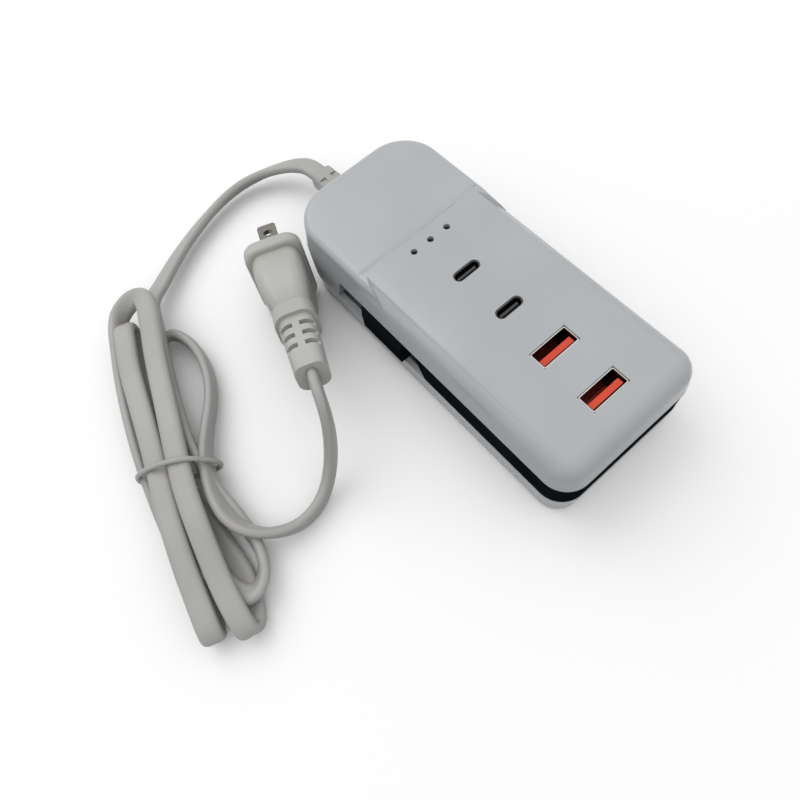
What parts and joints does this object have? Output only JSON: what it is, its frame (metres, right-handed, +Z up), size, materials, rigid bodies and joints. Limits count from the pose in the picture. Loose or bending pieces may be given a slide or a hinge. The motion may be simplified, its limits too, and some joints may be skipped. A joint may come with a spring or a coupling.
{
  "type": "multi port usb desktop charger",
  "caption": "Desktop USB charger with sockets and indicator lights along its top, a swing-out phone rest in a side slot, and a mains cord tied in a hank.",
  "frame": {"origin": "on the table under the middle of the case, between the four feet", "axes": "+Z up, +Y along the case to the end where the cord leaves, +X to the right of a user who faces the front end"},
  "size_m": [0.1459, 0.1666, 0.0322],
  "materials": {
    "case_plastic": "light grey gloss, moulded",
    "inner_plastic": "plain moulding",
    "rest_plastic": "near black, fine matt",
    "socket_metal": "bright folded sheet",
    "usb_a_insulator": "orange red",
    "usb_c_insulator": "dark grey",
    "light_lens": "smoked",
    "circuit_board": "green lacquer",
    "ferrite": "dark sintered",
    "capacitor_can": "sleeved can",
    "moulded_black": "moulded",
    "aluminium_plate": "plain sheet",
    "steel": "plain",
    "foot_rubber": "matt",
    "cord_vinyl": "warm grey white, satin",
    "blade_metal": "dark nickel plate"
  },
  "bodies": {
    "housing": {"top_cover": "case_plastic", "bottom_cover": "case_plastic", "slot_floor": "inner_plastic", "port_bay_floor": "inner_plastic", "transformer_winding": "inner_plastic", "line_capacitor": "inner_plastic", "usb_a_shell_1": "socket_metal", "usb_a_shell_2": "socket_metal", "usb_c_shell_1": "socket_metal", "usb_c_shell_2": "socket_metal", "usb_a_tongue_1": "usb_a_insulator", "usb_a_tongue_2": "usb_a_insulator", "usb_c_tongue_1": "usb_c_insulator", "usb_c_tongue_2": "usb_c_insulator", "light_pipes": "light_lens", "power_board": "circuit_board", "port_board": "circuit_board", "board_link": "circuit_board", "transformer_core": "ferrite", "input_choke": "ferrite", "bulk_capacitors": "capacitor_can", "output_capacitors": "capacitor_can", "bridge_rectifier": "moulded_black", "fuse": "moulded_black", "heat_sink": "aluminium_plate", "pivot_pin": "steel", "case_screws": "steel", "feet": "foot_rubber", "mains_leads": "cord_vinyl", "cord_gland": "cord_vinyl", "cord_lead_in": "cord_vinyl", "cord_side_loop": "cord_vinyl", "cord_plug_lead": "cord_vinyl", "cord_hank": "cord_vinyl", "cord_tie": "cord_vinyl", "plug_body": "cord_vinyl", "plug_blades": "blade_metal"},
    "phone_rest": {"phone_rest": "rest_plastic"}
  },
  "joints": [
    {"name": "phone_rest_swing", "type": "hinge", "parent": "housing", "child": "phone_rest", "pos_m": [0.018, -0.0525, 0.0114], "axis": [0, 0, 1], "range_deg": [0, 90]}
  ]
}
